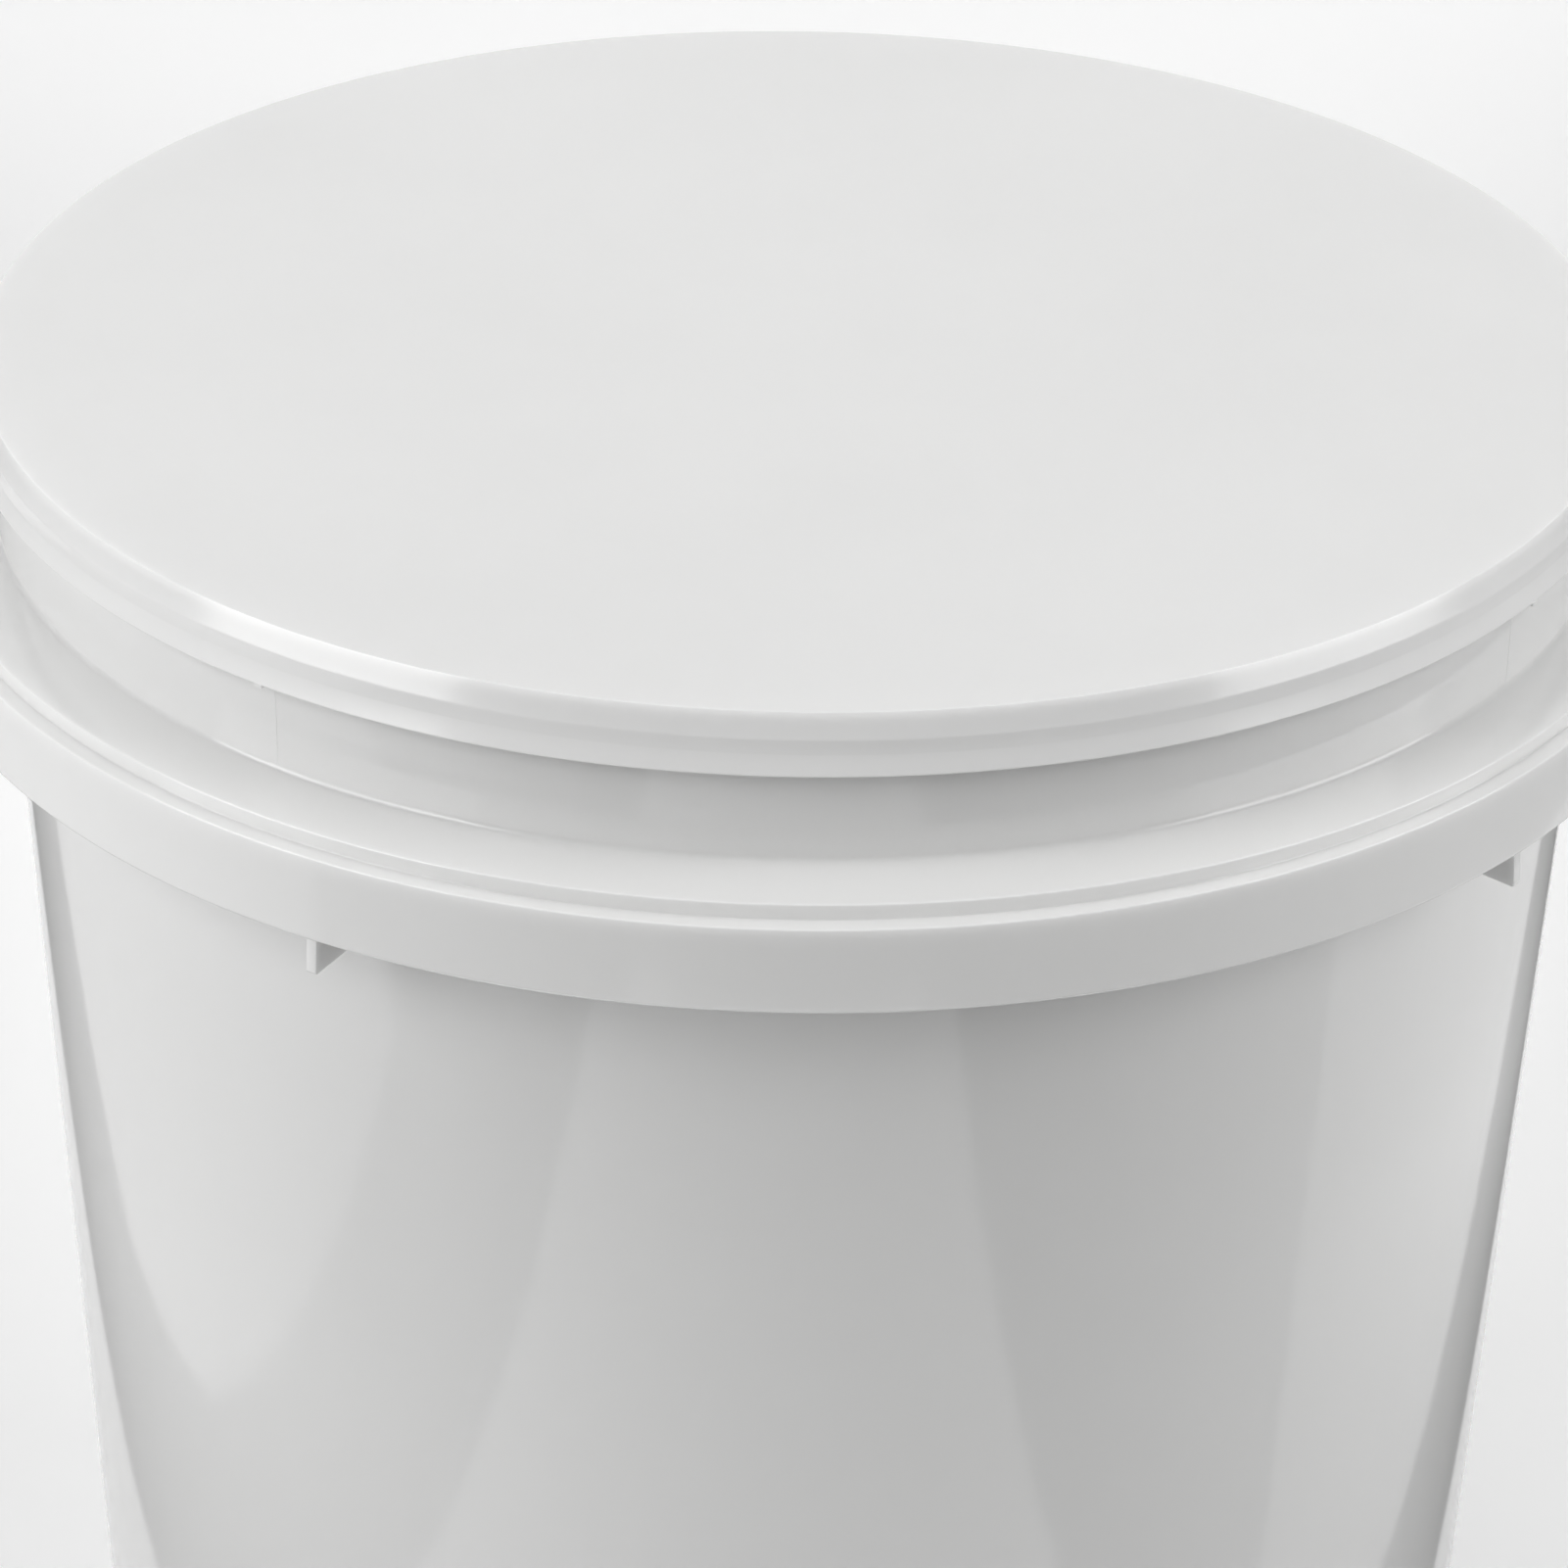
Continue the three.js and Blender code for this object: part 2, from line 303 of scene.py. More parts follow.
def weld(piece: bpy.types.Object, tool: bpy.types.Object, operation: str = "UNION") -> None:
    """Joins a tool to a piece or cuts it away, and deletes the tool.

    Args:
        piece: The piece that stays.
        tool: The closed shape that is joined or cut away.
        operation: UNION or DIFFERENCE.
    """
    select_only(piece)
    cut = piece.modifiers.new("weld", "BOOLEAN")
    cut.operation = operation
    cut.object = tool
    cut.solver = "EXACT"
    bpy.ops.object.modifier_apply(modifier=cut.name)
    bpy.data.objects.remove(tool)


def drum(radius: float, start: float, end: float, height: float, bevel: float) -> bpy.types.Object:
    """Makes a round bar along X with bevelled rims.

    Args:
        radius: Its radius in millimetres.
        start: Where it starts along X, in millimetres.
        end: Where it ends along X, in millimetres.
        height: The height of its axis in millimetres.
        bevel: The width of the bevel on both rims in millimetres, or 0.

    Returns:
        The bar.
    """
    deselect()
    bpy.ops.mesh.primitive_cylinder_add(
        vertices=DRUM_SIDES,
        radius=radius * MM,
        depth=(end - start) * MM,
        location=((start + end) / 2 * MM, 0, height * MM),
        rotation=(0, math.pi / 2, 0),
    )
    bar = bpy.context.object
    if bevel:
        rims = bar.modifiers.new("rims", "BEVEL")
        rims.width = bevel * MM
        rims.segments = BEVEL_STEPS
        rims.limit_method = "ANGLE"
        rims.angle_limit = BEVEL_ANGLE
        bpy.ops.object.modifier_apply(modifier=rims.name)
    settle(bar)
    return bar


def block(centre: tuple[float, ...], size: tuple[float, ...]) -> bpy.types.Object:
    """Makes a box.

    Args:
        centre: Its centre in millimetres.
        size: Its size in millimetres.

    Returns:
        The box.
    """
    deselect()
    location = tuple(value * MM for value in centre)
    bpy.ops.mesh.primitive_cube_add(size=MM, location=location, scale=size)
    box = bpy.context.object
    settle(box)
    return box


def add_node(
    material: bpy.types.Material, kind: str, values: dict[str, float] | None = None
) -> bpy.types.Node:
    """Adds a node to a material.

    Args:
        material: The material.
        kind: The node's type.
        values: The values of its inputs by name.

    Returns:
        The node.
    """
    node = material.node_tree.nodes.new(kind)
    for name, value in (values or {}).items():
        node.inputs[name].default_value = value
    return node


@dataclass(frozen=True)
class MouldedPlastic:
    """Glossy moulded polypropylene with a faint ripple in its gloss and colour; the colour ripple
    is random moulding tone, and on the lid also painted sheen of a slightly warped panel.
    """

    name: str
    color: tuple[float, float, float]
    roughness: float
    tone_and_sheen_ripple: float = 0.02
    depth: float = 0.005
    translucency: float = 0.6
    ior: float = 1.5
    cloud_scale: float = 9.0
    cloud_detail: float = 3.0
    cloud_range: tuple[float, float] = (0.3, 0.7)
    gloss_spread: float = 0.1
    grain_scale: float = 900.0
    grain_detail: float = 2.0
    grain_strength: float = 0.05
    grain_height: float = 0.0001

    def build(self) -> bpy.types.Material:
        """Makes the material.

        Returns:
            The node material.
        """
        material = bpy.data.materials.new(self.name)
        material.use_nodes = True
        link = material.node_tree.links.new
        shader = material.node_tree.nodes["Principled BSDF"]
        shader.inputs["IOR"].default_value = self.ior
        shader.inputs["Subsurface Weight"].default_value = self.translucency
        shader.inputs["Subsurface Radius"].default_value = (1.0, 1.0, 1.0)
        shader.inputs["Subsurface Scale"].default_value = self.depth
        place = add_node(material, "ShaderNodeTexCoord")
        clouds = add_node(material, "ShaderNodeTexNoise", {
            "Scale": self.cloud_scale,
            "Detail": self.cloud_detail,
        })
        link(place.outputs["Object"], clouds.inputs["Vector"])
        # Colour ripple: random moulding tone, and on the lid also painted sheen.
        tint = add_node(material, "ShaderNodeMapRange", {
            "From Min": self.cloud_range[0],
            "From Max": self.cloud_range[1],
            "To Min": 1.0 - self.tone_and_sheen_ripple,
            "To Max": 1.0,
        })
        link(clouds.outputs["Fac"], tint.inputs["Value"])
        paint = add_node(material, "ShaderNodeMix")
        paint.data_type = "RGBA"
        paint.blend_type = "MULTIPLY"
        paint.inputs["Factor"].default_value = 1.0
        paint.inputs["A"].default_value = (*self.color, 1.0)
        link(tint.outputs["Result"], paint.inputs["B"])
        link(paint.outputs["Result"], shader.inputs["Base Color"])
        gloss = add_node(material, "ShaderNodeMapRange", {
            "To Min": self.roughness * (1 - self.gloss_spread),
            "To Max": self.roughness * (1 + self.gloss_spread),
        })
        link(clouds.outputs["Fac"], gloss.inputs["Value"])
        link(gloss.outputs["Result"], shader.inputs["Roughness"])
        grain = add_node(material, "ShaderNodeTexNoise", {
            "Scale": self.grain_scale,
            "Detail": self.grain_detail,
        })
        link(place.outputs["Object"], grain.inputs["Vector"])
        relief = add_node(material, "ShaderNodeBump", {
            "Strength": self.grain_strength,
            "Distance": self.grain_height,
        })
        link(grain.outputs["Fac"], relief.inputs["Height"])
        link(relief.outputs["Normal"], shader.inputs["Normal"])
        return material


BUCKET_FINISH = MouldedPlastic("bucket_polypropylene", (0.75, 0.75, 0.745), 0.08)
# The lid's stronger colour ripple paints soft sheen blobs of a slightly warped panel.
LID_FINISH = MouldedPlastic("lid_polypropylene", (0.8, 0.8, 0.795), 0.17, tone_and_sheen_ripple=0.05)
SEAL_FINISH = MouldedPlastic("seal_foam", (0.4, 0.4, 0.39), 0.85, tone_and_sheen_ripple=0.15, translucency=0.0)
HANDLE_FINISH = MouldedPlastic("handle_polypropylene", (0.74, 0.74, 0.735), 0.3)


@dataclass
class Bucket:
    """Bucket body: wall, floor, collar, neck, gussets and ears, one moulding. Millimetres."""

    wall: float = 1.8
    wall_slope: float = 0.035
    neck_radius: float = 146.2
    floor_thickness: float = 2.2
    foot_height: float = 5.0
    foot_thickness: float = 2.6
    foot_root_round: float = 1.0
    foot_edge_round: float = 0.8
    heel_round: float = 1.6
    floor_round: float = 5.0
    collar_radius: float = 162.0
    collar_height: float = 326.0
    skirt_height: float = 15.1
    skirt_draft: float = 0.7
    ledge_width: float = 3.1
    riser_height: float = 2.7
    shelf_fall: float = 1.1
    collar_root_round: float = 1.2
    collar_inside_round: float = 0.5
    skirt_inside_round: float = 0.4
    skirt_foot_round: float = 0.7
    ledge_round: float = 0.28
    riser_round: float = 0.25
    shelf_round: float = 0.28
    neck_height: float = 24.0
    neck_fillet: float = 0.9
    neck_inside_round: float = 4.0
    rim_round: float = 0.6
    split_azimuths: tuple[float, ...] = (-135.0, -45.0, 45.0, 135.0)
    split_width: float = 0.3
    split_proud: float = 0.06
    split_foot: float = 0.6
    split_top: float = 4.0
    gusset_azimuths: tuple[float, ...] = (-141.5, -38.5, 38.5, 141.5)
    gusset_thickness: float = 1.8
    gusset_drop: float = 6.4
    gusset_inset: float = 0.3
    gusset_round: float = 0.5
    ear_radius: float = 12.5
    ear_thickness: float = 5.5
    ear_proud: float = 2.2
    ear_rise: float = 1.5
    ear_bevel: float = 0.7
    ear_web: float = 2.0
    ear_web_inset: float = 1.0
    bore_radius: float = 3.95
    bore_overrun: float = 1.0

    @property
    def shelf_edge(self) -> float:
        """Height of the shelf's outer edge."""
        return self.collar_height + self.skirt_height + self.riser_height

    @property
    def shelf(self) -> float:
        """Height of the shelf at the neck."""
        return self.shelf_edge + self.shelf_fall

    @property
    def rim(self) -> float:
        """Height of the rim."""
        return self.shelf + self.neck_height

    @property
    def ledge_radius(self) -> float:
        """Radius of the ledge's outer edge."""
        return self.collar_radius - self.skirt_draft

    @property
    def shelf_radius(self) -> float:
        """Radius of the shelf's outer edge."""
        return self.ledge_radius - self.ledge_width

    @property
    def pivot(self) -> float:
        """Height of the handle's pivot."""
        return self.collar_height + self.ear_rise

    @property
    def ear_face(self) -> float:
        """Distance of the ear's face from the axis."""
        return self.collar_radius + self.ear_proud

    def wall_radius(self, height: float) -> float:
        """Works out the leaning wall's outer radius.

        Args:
            height: The height at which it is measured.

        Returns:
            The radius.
        """
        return self.neck_radius - self.wall_slope * (self.shelf - height)

    def outline(self) -> list[Vector]:
        """Draws the whole sheet from the floor's underside round to its top.

        Returns:
            The outline in metres.
        """
        ledge = self.collar_height + self.skirt_height
        shelf_under = self.shelf - self.wall
        floor_top = self.foot_height + self.floor_thickness
        foot_inside = self.wall_radius(0) - self.foot_thickness
        neck_inside = self.neck_radius - self.wall
        riser_inside = self.shelf_radius - self.wall
        return rounded([
            Corner(0, self.foot_height),
            Corner(foot_inside, self.foot_height, self.foot_root_round),
            Corner(foot_inside, 0, self.foot_edge_round),
            Corner(self.wall_radius(0), 0, self.heel_round),
            Corner(self.wall_radius(shelf_under), shelf_under, self.collar_root_round),
            Corner(riser_inside, self.shelf_edge - self.wall, self.collar_inside_round),
            Corner(riser_inside, ledge - self.wall, self.collar_inside_round),
            Corner(self.ledge_radius - self.wall, ledge - self.wall, self.skirt_inside_round),
            Corner(self.collar_radius - self.wall, self.collar_height, self.skirt_inside_round),
            Corner(self.collar_radius, self.collar_height, self.skirt_foot_round),
            Corner(self.ledge_radius, ledge, self.ledge_round),
            Corner(self.shelf_radius, ledge, self.riser_round),
            Corner(self.shelf_radius, self.shelf_edge, self.shelf_round),
            Corner(self.neck_radius, self.shelf, self.neck_fillet),
            Corner(self.neck_radius, self.rim, self.rim_round),
            Corner(neck_inside, self.rim, self.rim_round),
            Corner(neck_inside, self.shelf, self.neck_inside_round),
            Corner(self.wall_radius(floor_top) - self.wall, floor_top, self.floor_round),
            Corner(0, floor_top),
        ])

    def gusset(self, azimuth: float) -> bpy.types.Object:
        """Makes one gusset plate under the collar.

        Args:
            azimuth: Where it stands, in degrees from the bucket's front.

        Returns:
            The plate.
        """
        bite = self.wall / 2
        foot = self.collar_height - self.gusset_drop
        ledge = self.collar_height + self.skirt_height
        points = rounded([
            Corner(self.wall_radius(foot) - bite, foot),
            Corner(self.collar_radius - self.gusset_inset, foot, self.gusset_round),
            Corner(self.collar_radius - bite, self.collar_height + bite),
            Corner(self.ledge_radius - bite, ledge - bite),
            Corner(self.shelf_radius - bite, ledge - bite),
            Corner(self.shelf_radius - bite, self.shelf_edge - bite),
            Corner(self.wall_radius(self.shelf) - bite, self.shelf - bite),
        ])
        return plate("gusset", points, self.gusset_thickness * MM, turn_to(azimuth))

    def split_line(self, azimuth: float) -> bpy.types.Object:
        """Makes the fine ridge that two halves of the mould leave on the neck.

        Args:
            azimuth: Where it stands, in degrees from the bucket's front.

        Returns:
            The ridge.
        """
        outside, inside = self.neck_radius + self.split_proud, self.neck_radius - self.wall / 3
        top, foot = self.rim - self.split_top, self.shelf + self.split_foot
        points = rounded([
            Corner(inside, foot),
            Corner(outside, foot),
            Corner(outside, top),
            Corner(inside, top),
        ])
        return plate("split_line", points, self.split_width * MM, turn_to(azimuth))

    def ear(self) -> list[bpy.types.Object]:
        """Makes the ear at +X.

        Returns:
            The ear's disc and its two webs.
        """
        back = self.ear_face - self.ear_thickness
        disc = drum(self.ear_radius, back, self.ear_face, self.pivot, self.ear_bevel)
        inner = self.wall_radius(self.pivot) - self.wall / 2
        outer = self.ear_face - self.ear_web_inset
        webs = [
            block(
                ((inner + outer) / 2, side * (self.ear_radius - self.ear_web), self.pivot),
                (outer - inner, self.ear_web, self.ear_radius),
            )
            for side in (-1, 1)
        ]
        return [disc, *webs]

    def build(self) -> bpy.types.Object:
        """Builds the bucket body.

        Returns:
            The piece.
        """
        piece = revolve("bucket_shell", self.outline())
        for azimuth in self.gusset_azimuths:
            weld(piece, self.gusset(azimuth))
        for azimuth in self.split_azimuths:
            weld(piece, self.split_line(azimuth))
        for turn in (0.0, math.pi):
            for tool in self.ear():
                swing(tool, turn)
                weld(piece, tool)
            back = self.ear_face - self.ear_thickness - self.bore_overrun
            bore = drum(self.bore_radius, back, self.ear_face + self.bore_overrun, self.pivot, 0)
            swing(bore, turn)
            weld(piece, bore, "DIFFERENCE")
        settle(piece)
        return piece

    def dress(self, piece: bpy.types.Object) -> None:
        """Gives the bucket body its finish.

        Args:
            piece: The piece.
        """
        piece.data.materials.append(BUCKET_FINISH.build())


@dataclass
class Lid:
    """Lid: panel, plug wall with ribs, rim channel and lip, one moulding. Millimetres."""

    bucket: Bucket
    sheet: float = 1.9
    clearance: float = 0.4
    plug_depth: float = 12.0
    plug_thickness: float = 1.5
    plug_root_round: float = 1.2
    plug_foot_round: float = 0.5
    channel_round: float = 0.3
    rib_count: int = 24
    rib_length: float = 14.0
    rib_thickness: float = 1.4
    rib_toe: float = 0.5
    rib_toe_round: float = 0.4
    rib_reach: float = 0.7
    lip_height: float = 10.1
    lip_wall: float = 0.6
    lip_flare: float = 3.0
    lip_edge: float = 1.5
    lip_edge_round: float = 0.2
    lip_foot_round: float = 0.3
    lip_bore_rise: float = 3.4
    lip_bore_round: float = 1.5
    flare_top: tuple[float, float] = (1.72, 3.3)
    groove: tuple[float, float] = (1.55, 4.6)
    band_foot: tuple[float, float] = (1.47, 5.9)
    crest_round: float = 0.06
    nick_azimuths: tuple[float, ...] = (-135.0, -45.0, 45.0, 135.0)
    nick_size: tuple[float, float, float] = (0.9, 1.5, 0.7)
    nick_inset: float = 0.05
    seal_thickness: float = 1.2

    @property
    def roof(self) -> float:
        """Height of the rim channel's roof."""
        return self.bucket.rim + self.seal_thickness

    @property
    def top(self) -> float:
        """Height of the panel's top."""
        return self.roof + self.sheet

    @property
    def foot(self) -> float:
        """Height of the lip's bottom edge."""
        return self.top - self.lip_height

    @property
    def plug(self) -> float:
        """Outer radius of the plug wall."""
        return self.bucket.neck_radius - self.bucket.wall - self.clearance

    @property
    def lip_bore(self) -> float:
        """Inner radius of the lip."""
        return self.bucket.neck_radius + self.clearance

    @property
    def crest(self) -> float:
        """Radius of the panel's edge."""
        return self.lip_bore + self.lip_wall

    @property
    def lip(self) -> float:
        """Outer radius of the lip's bottom edge."""
        return self.crest + self.lip_flare

    def outline(self) -> list[Vector]:
        """Draws the lid from the panel's underside round to its top.

        Returns:
            The outline in metres.
        """
        bore = self.plug - self.plug_thickness
        plug_foot = self.roof - self.plug_depth
        flare_top, groove, band_foot = (
            (self.crest + across, self.foot + rise)
            for across, rise in (self.flare_top, self.groove, self.band_foot)
        )
        under = rounded([
            Corner(0, self.roof),
            Corner(bore, self.roof, self.plug_root_round),
            Corner(bore, plug_foot, self.plug_foot_round),
            Corner(self.plug, plug_foot, self.plug_foot_round),
            Corner(self.plug, self.roof, self.channel_round),
            Corner(self.lip_bore, self.roof, self.channel_round),
            Corner(self.lip_bore, self.foot + self.lip_bore_rise, self.lip_bore_round),
            Corner(self.lip - self.lip_edge, self.foot, self.lip_edge_round),
            Corner(self.lip, self.foot, self.lip_foot_round),
            Corner(*flare_top),
        ])
        lip_face = eased([flare_top, groove, band_foot])
        crown = rounded([
            Corner(*band_foot),
            Corner(self.crest, self.top, self.crest_round),
            Corner(0, self.top),
        ])
        return [*under, *lip_face[1:], *crown[1:]]

    def rib(self, turn: float) -> bpy.types.Object:
        """Makes one stiffening rib under the panel's edge.

        Args:
            turn: Where it stands, in radians about the axis.

        Returns:
            The rib.
        """
        outside = self.plug - self.plug_thickness / 2
        top = self.roof + self.sheet / 2
        points = rounded([
            Corner(outside - self.rib_length, top),
            Corner(outside - self.rib_length, self.roof - self.rib_toe, self.rib_toe_round),
            Corner(outside, self.roof - self.rib_reach * self.plug_depth),
            Corner(outside, top),
        ], RIB_ARC_STEPS)
        return plate("plug_rib", points, self.rib_thickness * MM, turn)

    def nick(self, azimuth: float) -> bpy.types.Object:
        """Makes the small nick of plastic left on the lip's bottom edge at a mould split.

        Args:
            azimuth: Where it is, in degrees from the bucket's front.

        Returns:
            The nick.
        """
        middle = self.lip - self.nick_size[0] / 2 - self.nick_inset
        piece = block((middle, 0, self.foot), self.nick_size)
        swing(piece, turn_to(azimuth))
        return piece

    def build(self) -> bpy.types.Object:
        """Builds the lid.

        Returns:
            The piece.
        """
        piece = revolve("lid_shell", self.outline())
        ribs = [self.rib((i + 0.5) / self.rib_count * math.tau) for i in range(self.rib_count)]
        deselect()
        for rib in ribs:
            rib.select_set(True)
        bpy.context.view_layer.objects.active = ribs[0]
        bpy.ops.object.join()
        weld(piece, bpy.context.object)
        for azimuth in self.nick_azimuths:
            weld(piece, self.nick(azimuth))
        settle(piece)
        return piece

    def dress(self, piece: bpy.types.Object) -> None:
        """Gives the lid its finish.

        Args:
            piece: The piece.
        """
        piece.data.materials.append(LID_FINISH.build())


@dataclass
class Seal:
    """Soft ring between the bucket's rim and the lid's channel. Millimetres."""

    bucket: Bucket
    lid: Lid
    clearance: float = 0.3
    rounding: float = 0.3

    def build(self) -> bpy.types.Object:
        """Builds the seal.

        Returns:
            The piece.
        """
        inside = self.lid.plug + self.clearance
        outside = self.lid.lip_bore - self.clearance
        start = Corner((inside + outside) / 2, self.bucket.rim)
        return revolve("seal_ring", rounded([
            start,
            Corner(outside, self.bucket.rim, self.rounding),
            Corner(outside, self.lid.roof, self.rounding),
            Corner(inside, self.lid.roof, self.rounding),
            Corner(inside, self.bucket.rim, self.rounding),
            start,
        ], SEAL_ARC_STEPS), SEAL_STEPS)

    def dress(self, piece: bpy.types.Object) -> None:
        """Gives the seal its finish.

        Args:
            piece: The piece.
        """
        piece.data.materials.append(SEAL_FINISH.build())


@dataclass
class Handle:
    """Handle: strap, grip, eyes and snap pins, one moulding at its rest angle. Millimetres."""

    bucket: Bucket
    clearance: float = 0.4
    strap_thickness: float = 4.0
    strap_width: float = 12.0
    strap_round: float = 0.8
    eye_radius: float = 9.0
    eye_bevel: float = 0.6
    grip_length: float = 110.0
    grip_thickness: float = 9.0
    grip_width: float = 20.0
    grip_round: float = 2.6
    pin_radius: float = 3.6
    pin_root: float = 1.0
    pin_head: float = 1.0
    pin_head_length: float = 2.4
    pin_head_lap: float = 0.5
    pin_head_bevel: float = 0.5

    @property
    def strap_inside(self) -> float:
        """Inner radius of the strap, which clears the ear."""
        return math.hypot(self.bucket.ear_face, self.bucket.ear_radius) + self.clearance

    def rest_angle(self) -> float:
        """Finds how far the handle hangs below level with its grip against the wall.

        Returns:
            The angle in radians.
        """
        slope = self.bucket.wall_slope
        reach = self.strap_inside + (self.strap_thickness - self.grip_thickness) / 2
        half = self.grip_width / 2
        along, across = reach + slope * half, half - slope * reach
        target = self.bucket.wall_radius(self.bucket.pivot) + self.clearance
        return math.acos(target / math.hypot(along, across)) - math.atan2(across, along)

    def bow(
        self, middle: float, thickness: float, width: float, rounding: float, reach: float
    ) -> bpy.types.Object:
        """Spins a rounded section along an arc whose middle is at +Y.

        Args:
            middle: The arc's radius.
            thickness: The section's size across the arc.
            width: The section's height.
            rounding: How far its corners are rounded.
            reach: The arc's angle in radians.

        Returns:
            The closed bow.
        """
        half_t, half_w = thickness / 2, width / 2
        start = Corner(middle, -half_w)
        piece = chain("handle_bow", rounded([
            start,
            Corner(middle + half_t, -half_w, rounding),
            Corner(middle + half_t, half_w, rounding),
            Corner(middle - half_t, half_w, rounding),
            Corner(middle - half_t, -half_w, rounding),
            start,
        ], BOW_ARC_STEPS))
        merge_doubles()
        bpy.ops.mesh.edge_face_add()
        steps = math.ceil(reach * BOW_STEPS_PER_RADIAN)
        bpy.ops.mesh.spin(steps=steps, angle=-reach, center=(0, 0, 0), axis=(0, 0, 1))
        face_outwards()
        swing(piece, (math.pi - reach) / 2)
        return piece

    def eye(self) -> list[bpy.types.Object]:
        """Makes the eye at +X with its pin and the pin's snap head.

        Returns:
            The three round bars.
        """
        back = self.bucket.ear_face - self.bucket.ear_thickness - self.clearance
        head = back - self.pin_head_length
        face = self.bucket.ear_face + self.clearance
        outside = self.strap_inside + self.strap_thickness
        return [
            drum(self.eye_radius, face, outside, 0, self.eye_bevel),
            drum(self.pin_radius, head + self.pin_head_lap, face + self.pin_root, 0, 0),
            drum(self.pin_radius + self.pin_head, head, back, 0, self.pin_head_bevel),
        ]

    def build(self) -> bpy.types.Object:
        """Builds the handle.

        Returns:
            The piece.
        """
        middle = self.strap_inside + self.strap_thickness / 2
        piece = self.bow(middle, self.strap_thickness, self.strap_width, self.strap_round, math.pi)
        reach = self.grip_length / middle
        weld(piece, self.bow(middle, self.grip_thickness, self.grip_width, self.grip_round, reach))
        for turn in (0.0, math.pi):
            for tool in self.eye():
                swing(tool, turn)
                weld(piece, tool)
        deselect()
        piece.rotation_euler = (-self.rest_angle(), 0, 0)
        piece.location = (0, 0, self.bucket.pivot * MM)
        settle(piece)
        return piece

    def dress(self, piece: bpy.types.Object) -> None:
        """Gives the handle its finish.

        Args:
            piece: The piece.
        """
        piece.data.materials.append(HANDLE_FINISH.build())


@dataclass(frozen=True)
class Softbox:
    """A lamp: where it hangs, what it points at, its size in metres and how bright its face is."""

    name: str
    place: tuple[float, float, float]
    target: tuple[float, float, float]
    size: tuple[float, float]
    brightness: float

    def build(self, turn: Matrix) -> None:
        """Hangs the lamp.

        Args:
            turn: The turn from the camera's directions to the bucket's.
        """
        here, there = turn @ Vector(self.place), turn @ Vector(self.target)
        deselect()
        bpy.ops.object.light_add(type="AREA", location=here)
        lamp = bpy.context.object
        lamp.name = self.name
        lamp.rotation_euler = (there - here).to_track_quat("-Z", "Y").to_euler()
        lamp.data.shape = "RECTANGLE"
        lamp.data.size, lamp.data.size_y = self.size
        lamp.data.energy = self.brightness * math.pi * self.size[0] * self.size[1]


SOFTBOXES = (
    Softbox("key_left", (-0.89, -0.53, 0.77), (0, 0, 0.35), (0.75, 0.9), 4.8),
    Softbox("key_right", (0.985, -0.36, 0.76), (0, 0, 0.35), (0.75, 0.9), 4.2),
    Softbox("overhead_back", (0.0, 0.38, 1.15), (0, 0.05, 0.37), (1.0, 0.6), 1.45),
    Softbox("overhead_front", (0.0, -0.22, 1.55), (0, 0, 0.37), (1.1, 0.7), 1.5),
)


@dataclass(frozen=True)
class Card:
    """A glowing card that stands on the paper along a line of floor points, in metres."""

    name: str
    foot: tuple[tuple[float, float], ...]
    height: float = 0.26
    brightness: float = 0.7


CARDS = (
    Card(
        "card_left",
        ((-0.43, -0.34), (-0.375, -0.15), (-0.347, -0.03), (-0.365, 0.1), (-0.45, 0.32)),
    ),
    Card("card_right", ((0.23, -0.12), (0.279, 0.02), (0.339, 0.17), (0.42, 0.38))),
)


